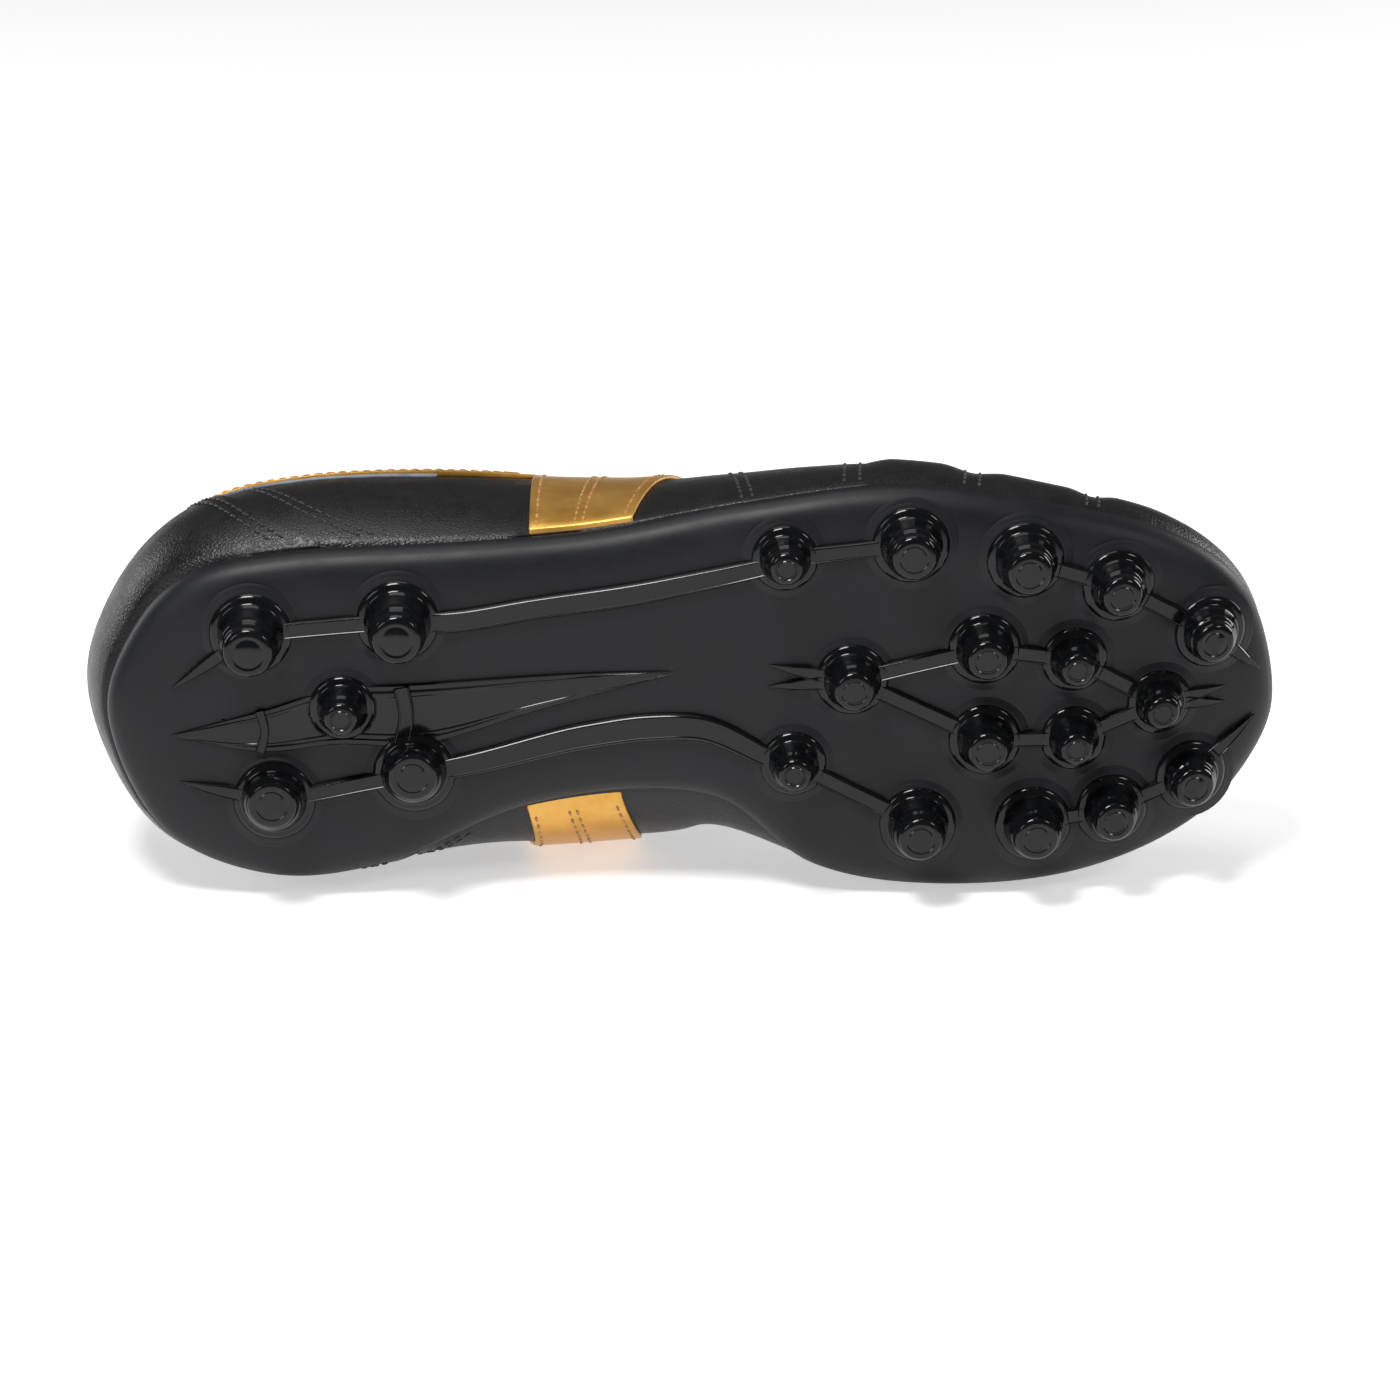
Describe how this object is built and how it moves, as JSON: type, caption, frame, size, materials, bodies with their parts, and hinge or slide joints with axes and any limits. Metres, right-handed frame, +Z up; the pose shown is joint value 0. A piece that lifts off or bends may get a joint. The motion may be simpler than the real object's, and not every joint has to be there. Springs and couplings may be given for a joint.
{
  "type": "soccer cleat",
  "caption": "Low-cut black leather soccer cleat, right foot, with a studded moulded sole, metallic gold side bands and collar trim, a folding tongue top and a lift-out sockliner.",
  "frame": {"origin": "middle of the footprint's bounding box, on the ground plane that the stud tips stand on", "axes": "+X towards the toe, -Y towards the little-toe (lateral) side, +Z up"},
  "size_m": [0.288, 0.102, 0.1021],
  "materials": {
    "plate": "satin",
    "stud": "gloss",
    "leather_black": "satin",
    "leather_gold": "satin",
    "lining": "matte",
    "board": "matte",
    "foam": "matte",
    "shank": "brushed"
  },
  "bodies": {
    "shoe": {"outsole_plate": "plate", "shank": "shank", "lasting_board": "board", "heel_wedge": "foam", "sockliner_front": "lining", "vamp": "leather_black", "vamp_lining": "lining", "toe_puff": "board", "quarter_lateral": "leather_black", "quarter_medial": "leather_black", "quarter_lining_lateral": "lining", "quarter_lining_medial": "lining", "eyestay_lateral": "leather_black", "eyestay_medial": "leather_black", "side_band_lateral": "leather_gold", "side_band_medial": "leather_gold", "collar_trim_lateral": "leather_gold", "collar_trim_medial": "leather_gold", "heel_lining": "lining", "heel_counter": "board", "collar_foam": "foam", "heel_foxing": "leather_black", "tongue_skin": "leather_black", "tongue_foam": "foam", "tongue_lining": "lining", "stud_centre_1": "stud", "stud_centre_2": "stud", "stud_centre_3": "stud", "stud_centre_4": "stud", "stud_centre_5": "stud", "stud_centre_6": "stud", "stud_heel_centre": "stud", "stud_heel_lateral_front": "stud", "stud_heel_lateral_rear": "stud", "stud_heel_medial_front": "stud", "stud_heel_medial_rear": "stud", "stud_lateral_1": "stud", "stud_lateral_2": "stud", "stud_lateral_3": "stud", "stud_lateral_4": "stud", "stud_lateral_5": "stud", "stud_medial_1": "stud", "stud_medial_2": "stud", "stud_medial_3": "stud", "stud_medial_4": "stud", "stud_medial_5": "stud"},
    "tongue_top": {"tongue_top_skin": "leather_black", "tongue_top_foam": "foam", "tongue_top_lining": "lining"},
    "sock_rear": {"sockliner_rear": "lining"}
  },
  "joints": [
    {"name": "tongue_fold", "type": "hinge", "parent": "shoe", "child": "tongue_top", "pos_m": [-0.0261, 0.0043, 0.0869], "axis": [0, 1, 0], "range_deg": [0, 55]},
    {"name": "sock_lift", "type": "hinge", "parent": "shoe", "child": "sock_rear", "pos_m": [0.0369, 0, 0.029], "axis": [0, 1, 0], "range_deg": [0, 9]}
  ]
}
